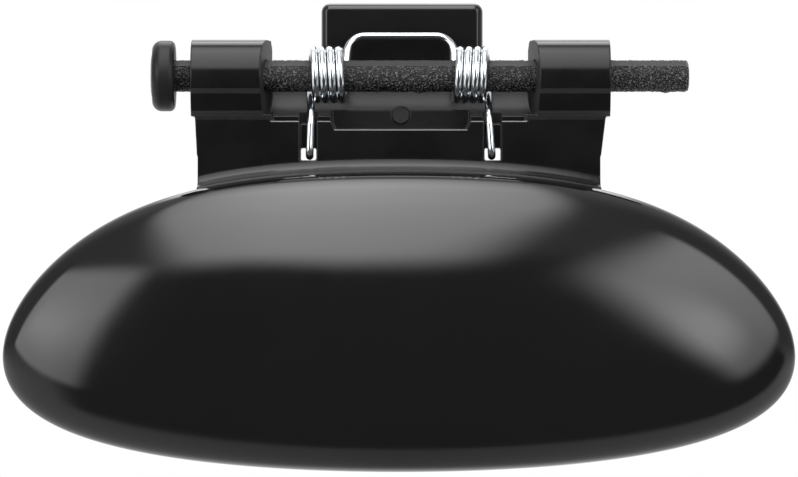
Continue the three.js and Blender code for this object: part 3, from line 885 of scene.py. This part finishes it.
def node(tree, kind, **inputs):
    """A node with some of its inputs set or linked."""
    made = tree.nodes.new(kind)
    for key, value in inputs.items():
        socket = made.inputs[int(key[1:])] if key[0] == "i" and key[1:].isdigit() else made.inputs[key]
        if isinstance(value, bpy.types.NodeSocket):
            tree.links.new(value, socket)
        else:
            socket.default_value = value
    return made


def grain(tree, scale, detail=2.0, roughness=0.5, stretch=(1, 1, 1)):
    """A noise in the row frame; scale is in cells per metre."""
    place = tree.nodes.new("ShaderNodeTexCoord")
    mapping = node(tree, "ShaderNodeMapping", Vector=place.outputs["Object"], Scale=stretch)
    return node(
        tree,
        "ShaderNodeTexNoise",
        Vector=mapping.outputs[0],
        Scale=scale,
        Detail=detail,
        Roughness=roughness,
    ).outputs[0]


def ramp(tree, value, low, high, a, b):
    """Maps value from low..high to a..b."""
    made = node(tree, "ShaderNodeMapRange", Value=value)
    made.inputs["From Min"].default_value = low
    made.inputs["From Max"].default_value = high
    made.inputs["To Min"].default_value = a
    made.inputs["To Max"].default_value = b
    return made.outputs[0]


def calculate(tree, operation, *values):
    """One Math node's result."""
    made = node(tree, "ShaderNodeMath", **{f"i{i}": value for i, value in enumerate(values)})
    made.operation = operation
    return made.outputs[0]


def blended(tree, share, a, b):
    """A value between a and b."""
    made = node(tree, "ShaderNodeMix", Factor=share)
    for socket, value in ((made.inputs[2], a), (made.inputs[3], b)):
        if isinstance(value, bpy.types.NodeSocket):
            tree.links.new(value, socket)
        else:
            socket.default_value = value
    return made.outputs[0]


def ramp_mm(tree, value, start, stop, low=0.0, high=1.0):
    """Goes from low to high as a length goes from start to stop, in millimetres."""
    return ramp(tree, value, start * MM, stop * MM, low, high)


def limited(tree, value, *limits):
    """A value times each of some limits."""
    for limit in limits:
        value = calculate(tree, "MULTIPLY", value, limit)
    return value


def away_from(tree, value, centre):
    """How far a length is from centre, which is in millimetres."""
    return calculate(tree, "ABSOLUTE", calculate(tree, "SUBTRACT", value, centre * MM))


def bump(tree, height, strength, distance, under=None):
    """A bumped normal, on top of another one; distance is in millimetres."""
    made = node(tree, "ShaderNodeBump", Height=height, Strength=strength, Distance=distance * MM)
    if under is not None:
        tree.links.new(under, made.inputs["Normal"])
    return made.outputs[0]


def tinted(tree, shader, value, dark, light):
    """Base colour between dark and light by value."""
    mix = tree.nodes.new("ShaderNodeMix")
    mix.data_type = "RGBA"
    tree.links.new(value, mix.inputs["Factor"])
    mix.inputs[6].default_value = (*dark, 1)
    mix.inputs[7].default_value = (*light, 1)
    tree.links.new(mix.outputs[2], shader.inputs["Base Color"])


def gloss_black():
    """Polished black moulding: faint flow in its colour, faint orange peel and a little dust."""
    made, tree, shader = material("gloss_black")
    flow = grain(tree, 38, 3)
    tinted(tree, shader, flow, (0.0046, 0.0046, 0.0048), (0.0062, 0.0062, 0.0065))
    haze = grain(tree, 160, 4, 0.6)
    tree.links.new(ramp(tree, haze, 0.3, 0.75, 0.085, 0.11), shader.inputs["Roughness"])
    peel = grain(tree, 420, 2)
    tree.links.new(bump(tree, peel, 0.2, 0.008), shader.inputs["Normal"])
    return made


def satin_black():
    """Moulded black: polished faces, with some eroded or dull zones, and painted highlights on the apron's
    edges, its fillet, the shelf and low on the lugs.
    """
    made, tree, shader = material("satin_black")
    shader.inputs["Specular IOR Level"].default_value = 0.2
    place = tree.nodes.new("ShaderNodeTexCoord")
    facing = node(tree, "ShaderNodeSeparateXYZ", Vector=place.outputs["Normal"])
    where = node(tree, "ShaderNodeSeparateXYZ", Vector=place.outputs["Object"])
    rough = lug_end_zone(tree, facing)
    for zone in (ledge_zone, dull_shelf_with_painted_light, ejector_zone, lug_band_painted_reflection):
        rough = calculate(tree, "MAXIMUM", rough, zone(tree, where))
    flow = ramp(tree, grain(tree, 60, 3), 0.25, 0.75, 0.0, 0.03)
    # Base colour: paler where eroded, plus painted highlights and reflections on the apron's edges, its
    # fillet, the shelf and the lug band.
    tone_with_painted_light = calculate(tree, "MULTIPLY_ADD", rough, 0.12, flow)
    for zone in (painted_edge_highlights, painted_fillet_highlight):
        tone_with_painted_light = calculate(tree, "ADD", tone_with_painted_light, zone(tree, where))
    tinted(tree, shader, tone_with_painted_light, (0.0036, 0.0036, 0.0038), (0.16, 0.16, 0.16))
    haze = ramp(tree, grain(tree, 240, 4, 0.6), 0.3, 0.75, 0.13, 0.19)
    tree.links.new(blended(tree, rough, haze, 0.5), shader.inputs["Roughness"])
    fine = bump(tree, grain(tree, 900, 2), 0.08, 0.02)
    eroded = calculate(tree, "MULTIPLY", grain(tree, 3200, 2), rough)
    tree.links.new(bump(tree, eroded, 0.9, 0.12, fine), shader.inputs["Normal"])
    return made


def lug_end_zone(tree, facing):
    """The eroded faces that look along the pin."""
    sideways = calculate(tree, "ABSOLUTE", facing.outputs[0])
    return ramp(tree, sideways, 0.45, 0.75, 0.0, 1.0)


def ledge_zone(tree, where):
    """The eroded ledge under each lug, which stands just proud of the apron."""
    _, y, z = where.outputs
    ledge = ramp_mm(tree, y, APRON_FRONT_Y + 0.05, APRON_FRONT_Y - 0.1)
    return limited(tree, ledge, ramp_mm(tree, z, *LEDGE_TOP_Z), ramp_mm(tree, z, *LEDGE_LOW_Z))


def dull_shelf_with_painted_light(tree, where):
    """The dull shelf over the flap, most of all in its middle; its paler colour there is painted light."""
    x, y, z = where.outputs
    shelf = ramp_mm(tree, y, *SHELF_FRONT_Y)
    # The fade along x paints more light on the shelf's middle than on its sides.
    middle = ramp_mm(tree, calculate(tree, "ABSOLUTE", x), *SHELF_X, 0.8, 0.1)
    return limited(tree, shelf, middle, ramp_mm(tree, z, *SHELF_LOW_Z), ramp_mm(tree, z, *FILLET_TOP_Z))


def ejector_zone(tree, where):
    """The dull wall behind the window, with the rough disc that an ejector pin left on it."""
    x = calculate(tree, "SUBTRACT", where.outputs[0], EJECTOR_MARK[0] * MM)
    z = calculate(tree, "SUBTRACT", where.outputs[2], EJECTOR_MARK[1] * MM)
    flat = node(tree, "ShaderNodeCombineXYZ", X=x, Y=z)
    off = node(tree, "ShaderNodeVectorMath", i0=flat.outputs[0])
    off.operation = "LENGTH"
    near = ramp_mm(tree, off.outputs["Value"], EJECTOR_RADIUS, 0.85 * EJECTOR_RADIUS, 0.4, 1.0)
    return limited(tree, near, ramp_mm(tree, where.outputs[1], *WALL_DEPTH_Y))


def lug_band_painted_reflection(tree, where):
    """A painted reflection: a rougher, paler band low on the front of each lug."""
    _, y, z = where.outputs
    front = ramp_mm(tree, y, *BAND_FRONT_Y, 0.0, 0.6)
    off = away_from(tree, z, BAND_Z)
    return limited(tree, front, ramp_mm(tree, off, BAND_HALF, BAND_HALF + 0.15, 1.0, 0.0))


def painted_fillet_highlight(tree, where):
    """A painted highlight: paler colour on the fillet where the apron turns forward over the flap, fading to
    the right.
    """
    x, y, z = where.outputs
    share = ramp_mm(tree, y, APRON_FRONT_Y - 0.1, APRON_FRONT_Y - 0.5, 0.0, 0.2)
    front = ramp_mm(tree, y, *FILLET_HIGHLIGHT_FRONT_Y)
    right = ramp_mm(tree, x, *FILLET_HIGHLIGHT_X, 1.0, 0.2)
    return limited(tree, share, front, ramp_mm(tree, z, *FILLET_TOP_Z), right)


def painted_edge_highlights(tree, where):
    """Painted highlights: paler colour along the upper edges of the apron, beside the window and below it.
    """
    x, y, z = where.outputs
    front = ramp_mm(tree, y, *EDGE_FRONT_Y)
    lines = []
    for height in (APRON_TOP_Z, WINDOW_Z):
        off = away_from(tree, z, height - 0.08)
        lines.append(ramp_mm(tree, off, 0.07, 0.16, 1.0, 0.0))
    centre, half = sum(WINDOW_X) / 2, (WINDOW_X[1] - WINDOW_X[0]) / 2
    below = ramp_mm(tree, away_from(tree, x, centre), half - 0.7, half - 0.5, 1.0, 0.0)
    inner = ramp_mm(tree, calculate(tree, "ABSOLUTE", x), LUG_FOOT_X, LUG_FOOT_X + 0.4, 1.0, 0.0)
    return limited(tree, front, blended(tree, below, *lines), inner)


def lever_black():
    """The lever's glossier face, with fine flow marks along it."""
    made, tree, shader = material("lever_black")
    shader.inputs["Specular IOR Level"].default_value = 0.4
    flow = grain(tree, 60, 3, 0.5, (1, 1, 3))
    tinted(tree, shader, flow, (0.0055, 0.0055, 0.0058), (0.008, 0.008, 0.0085))
    haze = grain(tree, 300, 4, 0.6)
    tree.links.new(ramp(tree, haze, 0.3, 0.75, 0.14, 0.2), shader.inputs["Roughness"])
    tree.links.new(bump(tree, grain(tree, 1100, 3), 0.1, 0.02), shader.inputs["Normal"])
    return made


def rough_black():
    """Spark-eroded black plastic: dark pits between small pale specks, a real grain whose light colour
    paints its glints, and a plain flat.
    """
    made, tree, shader = material("rough_black")
    shader.inputs["Specular IOR Level"].default_value = 0.38
    place = tree.nodes.new("ShaderNodeTexCoord")
    middle = sum(PIN_FLAT) / 2 * DEG
    facing = (0.0, -math.cos(middle), math.sin(middle))
    toward = node(tree, "ShaderNodeVectorMath", i0=place.outputs["Normal"], i1=facing)
    toward.operation = "DOT_PRODUCT"
    eroded = ramp(tree, toward.outputs["Value"], 0.955, 0.985, 1.0, 0.0)
    speck = grain(tree, 2900, 3, 0.65)
    # The pale specks are painted glints: light-coloured grains where the eroded surface would sparkle.
    glint = calculate(tree, "MULTIPLY", ramp(tree, speck, 0.53, 0.64, 0.0, 1.0), eroded)
    tinted(tree, shader, glint, (0.0015, 0.0015, 0.0016), (0.11, 0.11, 0.112))
    shine = ramp(tree, speck, 0.35, 0.6, 0.3, 0.12)
    tree.links.new(blended(tree, eroded, 0.6, shine), shader.inputs["Roughness"])
    coarse = bump(tree, calculate(tree, "MULTIPLY", speck, eroded), 1.0, 0.32)
    tree.links.new(bump(tree, grain(tree, 5200, 1), 0.5, 0.06, coarse), shader.inputs["Normal"])
    return made


def black_rubber():
    """Smooth moulded rubber with a soft bloom."""
    made, tree, shader = material("black_rubber")
    shader.inputs["Specular IOR Level"].default_value = 0.16
    bloom = grain(tree, 220, 4, 0.6)
    tinted(tree, shader, bloom, (0.008, 0.008, 0.008), (0.013, 0.013, 0.013))
    tree.links.new(ramp(tree, bloom, 0.3, 0.7, 0.3, 0.4), shader.inputs["Roughness"])
    tree.links.new(bump(tree, grain(tree, 1500, 3), 0.2, 0.03), shader.inputs["Normal"])
    return made


def zinc_wire():
    """Bright zinc on drawn wire."""
    made, tree, shader = material("zinc_wire")
    streak = grain(tree, 900, 3, 0.6)
    tinted(tree, shader, streak, (0.70, 0.73, 0.76), (0.86, 0.89, 0.92))
    shader.inputs["Metallic"].default_value = 1.0
    tree.links.new(ramp(tree, streak, 0.3, 0.7, 0.12, 0.22), shader.inputs["Roughness"])
    tree.links.new(bump(tree, grain(tree, 2600, 2), 0.1, 0.02), shader.inputs["Normal"])
    return made


def screw_steel():
    """Passivated steel screws."""
    made, tree, shader = material("screw_steel")
    cloud = grain(tree, 700, 4, 0.6)
    tinted(tree, shader, cloud, (0.42, 0.42, 0.43), (0.62, 0.62, 0.64))
    shader.inputs["Metallic"].default_value = 1.0
    tree.links.new(ramp(tree, cloud, 0.3, 0.7, 0.26, 0.42), shader.inputs["Roughness"])
    tree.links.new(bump(tree, grain(tree, 2400, 2), 0.15, 0.03), shader.inputs["Normal"])
    return made


def pale_floor():
    """Plain pale paper."""
    made, tree, shader = material("pale_floor")
    tinted(tree, shader, grain(tree, 3, 2), (0.80, 0.80, 0.80), (0.84, 0.84, 0.84))
    shader.inputs["Roughness"].default_value = 0.8
    return made


# ---------- studio ----------
VIEW_DISTANCE = 0.945
VIEW_Z = -0.03125
FOCAL_PIXELS = 4914
IMAGE_WIDTH = 798
FLOOR_Z = -0.25


def camera():
    """A long lens, level and straight in front."""
    data = bpy.data.cameras.new("camera")
    data.sensor_width = 36
    data.lens = 36 * FOCAL_PIXELS / IMAGE_WIDTH
    data.clip_start, data.clip_end = 0.01, 100
    made = bpy.data.objects.new("camera", data)
    made.location = (0, -VIEW_DISTANCE, VIEW_Z)
    made.rotation_euler = (math.pi / 2, 0, 0)
    bpy.context.scene.collection.objects.link(made)
    bpy.context.scene.camera = made


def studio_map(tree):
    """A direction's place on a fixed map centred on -Y, across and up; one at right angles to -Y is at 1."""
    place = tree.nodes.new("ShaderNodeTexCoord")
    split = node(tree, "ShaderNodeSeparateXYZ", Vector=place.outputs["Generated"])
    ahead = calculate(tree, "MAXIMUM", calculate(tree, "SUBTRACT", 1.0, split.outputs[1]), 0.02)
    across = calculate(tree, "DIVIDE", split.outputs[0], ahead)
    up = calculate(tree, "DIVIDE", split.outputs[2], ahead)
    return node(tree, "ShaderNodeCombineXYZ", X=across, Y=up, Z=1.0).outputs[0]


def measured(tree, place, start, step):
    """How far a place lies from start along step, in steps."""
    along, up = step[0], step[1]
    square = along**2 + up**2
    weights = (along / square, up / square, -(start[0] * along + start[1] * up) / square)
    made = node(tree, "ShaderNodeVectorMath", i0=place, i1=weights)
    made.operation = "DOT_PRODUCT"
    return made.outputs["Value"]


def fade(tree, place, start, stop, a, b):
    """A value that goes from a at start to b at stop."""
    step = (stop[0] - start[0], stop[1] - start[1])
    return ramp(tree, measured(tree, place, start, step), 0.0, 1.0, a, b)


def panel(tree, place, corners, soft):
    """A soft-edged panel between corners, given anticlockwise: 1 inside and 0 outside."""
    value = None
    for i, (u, v) in enumerate(corners):
        du, dv = corners[(i + 1) % len(corners)][0] - u, corners[(i + 1) % len(corners)][1] - v
        length = math.hypot(du, dv)
        inside = measured(tree, place, (u, v), (-dv / length, du / length))
        edge = node(tree, "ShaderNodeMapRange", Value=inside)
        edge.interpolation_type = "SMOOTHSTEP"
        edge.inputs["From Min"].default_value = -soft / 2
        edge.inputs["From Max"].default_value = soft / 2
        value = edge.outputs[0] if value is None else calculate(tree, "MULTIPLY", value, edge.outputs[0])
    return value


def surroundings(tree, place):
    """A pale table below and paler walls, with the dark of the camera's stand in front."""
    split = node(tree, "ShaderNodeSeparateXYZ", Vector=place)
    across = calculate(tree, "ABSOLUTE", split.outputs[0])
    table = ramp(tree, across, 0.0, 0.9, 0.42, 1.25)
    wall = ramp(tree, split.outputs[1], 0.7, 1.05, 0.32, 0.7)
    below = ramp(tree, split.outputs[1], 0.12, -0.2, 0.0, 1.0)
    room = blended(tree, below, wall, table)
    flat = node(tree, "ShaderNodeCombineXYZ", X=split.outputs[0], Y=split.outputs[1])
    away = node(tree, "ShaderNodeVectorMath", i0=flat.outputs[0])
    away.operation = "LENGTH"
    room = blended(tree, ramp(tree, away.outputs["Value"], 1.6, 2.5, 0.0, 1.0), room, 1.1)
    low = [(-0.33, -0.42), (-0.05, -0.74), (0.07, -0.74), (0.45, -0.42)]
    stand = panel(tree, place, [(-0.3, 0.22), *low, (0.75, -0.02), (0.2, 0.22)], 0.12)
    return blended(tree, stand, room, 0.04)


def top_light(tree, place):
    """The long softbox overhead, brightest along its middle."""
    near, far = [(-0.21, 0.3), (-0.17, 0.2), (0.03, 0.2), (0.16, 0.62)], [(0.19, 1.35), (-0.36, 1.35)]
    light = panel(tree, place, [*near, *far, (-0.36, 0.8)], 0.09)
    for start, stop, a, b in (
        ((-0.4, 0.7), (-0.08, 0.7), 2.0, 6.0),
        ((-0.02, 0.7), (0.16, 0.7), 1.0, 0.6),
        ((0.0, 0.9), (0.0, 1.35), 1.0, 0.28),
        ((0.0, 0.25), (0.0, 0.6), 0.75, 1.0),
    ):
        light = calculate(tree, "MULTIPLY", light, fade(tree, place, start, stop, a, b))
    return light


def left_light(tree, place):
    """The softbox to the left, with a brighter streak across it."""
    box = panel(tree, place, [(-0.5, 0.44), (-0.71, 0.09), (-0.27, -0.2), (-0.2, 0.21)], 0.05)
    streak = panel(tree, place, [(-0.55, 0.16), (-0.3, -0.02), (-0.24, 0.12), (-0.48, 0.27)], 0.16)
    even = fade(tree, place, (-0.4, 0.12), (-0.4, -0.16), 1.0, 0.6)
    strength = calculate(tree, "MULTIPLY", even, ramp(tree, streak, 0.0, 1.0, 3.0, 4.3))
    return calculate(tree, "MULTIPLY", box, strength)


def right_light(tree, place):
    """The softbox to the right, which fades away from the camera."""
    box = panel(tree, place, [(0.33, 0.5), (0.12, 0.15), (0.31, -0.16), (0.67, 0.2), (0.5, 0.4)], 0.09)
    streak = panel(tree, place, [(0.15, 0.03), (0.26, -0.06), (0.34, 0.12), (0.22, 0.16)], 0.14)
    even = fade(tree, place, (0.25, 0.25), (0.5, -0.02), 3.4, 1.5)
    strength = calculate(tree, "MULTIPLY_ADD", streak, 2.4, even)
    return calculate(tree, "MULTIPLY", box, strength)


def back_light(tree, place):
    """The backdrop's own light, above and behind, which rims the upper edges."""
    light = panel(tree, place, [(-0.7, 1.75), (0.7, 1.75), (1.2, 3.2), (-1.2, 3.2)], 0.3)
    return calculate(tree, "MULTIPLY", light, 2.7)


def world():
    """A white backdrop to the camera, and the studio's soft lights and walls to everything else."""
    made = bpy.data.worlds.new("studio")
    made.use_nodes = True
    tree = made.node_tree
    tree.nodes.clear()
    place = studio_map(tree)
    light = surroundings(tree, place)
    for lamp in (top_light, left_light, right_light, back_light):
        light = calculate(tree, "ADD", light, lamp(tree, place))
    rays = tree.nodes.new("ShaderNodeLightPath")
    strength = blended(tree, rays.outputs["Is Camera Ray"], light, 1.0)
    back = node(tree, "ShaderNodeBackground", Color=(1, 1, 1, 1), Strength=strength)
    out = tree.nodes.new("ShaderNodeOutputWorld")
    tree.links.new(back.outputs[0], out.inputs["Surface"])
    bpy.context.scene.world = made


def floor():
    """A plain floor well below the handle."""
    size = 3.0
    mesh = bpy.data.meshes.new("floor")
    corners = [(-size, -size), (size, -size), (size, 2.2), (-size, 2.2)]
    mesh.from_pydata([(x, y, FLOOR_Z) for x, y in corners], [], [(0, 1, 2, 3)])
    mesh.materials.append(pale_floor())
    made = bpy.data.objects.new("floor", mesh)
    made.visible_glossy = False
    bpy.context.scene.collection.objects.link(made)


# ---------- the assembly ----------
def finish_piece(piece, body, nodes, look):
    """Gives a piece its material and body, and hides the CAD nodes that it stands for."""
    piece.data.materials.clear()
    piece.data.materials.append(look)
    if body:
        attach(piece, body)
    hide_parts(*nodes)


def assemble():
    """Builds every piece and puts it on its body."""
    gloss, satin, steel, rubber = gloss_black(), satin_black(), screw_steel(), black_rubber()
    finish_piece(grip_cover(), "handle", ["grip_cover"], gloss)
    finish_piece(back_shell(), "handle", ["grip_back_shell"], satin)
    finish_piece(bracket(), "handle", ["hinge_bracket"], satin)
    finish_piece(lever(), "handle", ["release_lever"], lever_black())
    for name in (*GRIP_SCREWS, *LEVER_SCREWS):
        finish_piece(screw(name), "handle", [name], steel)
    for name in STOPS:
        finish_piece(stop(name), "handle", [name], rubber)
    finish_piece(pin(), "pin", ["hinge_pin"], rough_black())
    finish_piece(cap(), "pin", ["pin_cap"], rubber)
    wire, winding = spring()
    finish_piece(wire, None, ["return_spring"], zinc_wire())
    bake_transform(wire)


bpy.context.scene.view_settings.view_transform = "Standard"
camera()
world()
floor()
assemble()

bpy.context.view_layer.update()
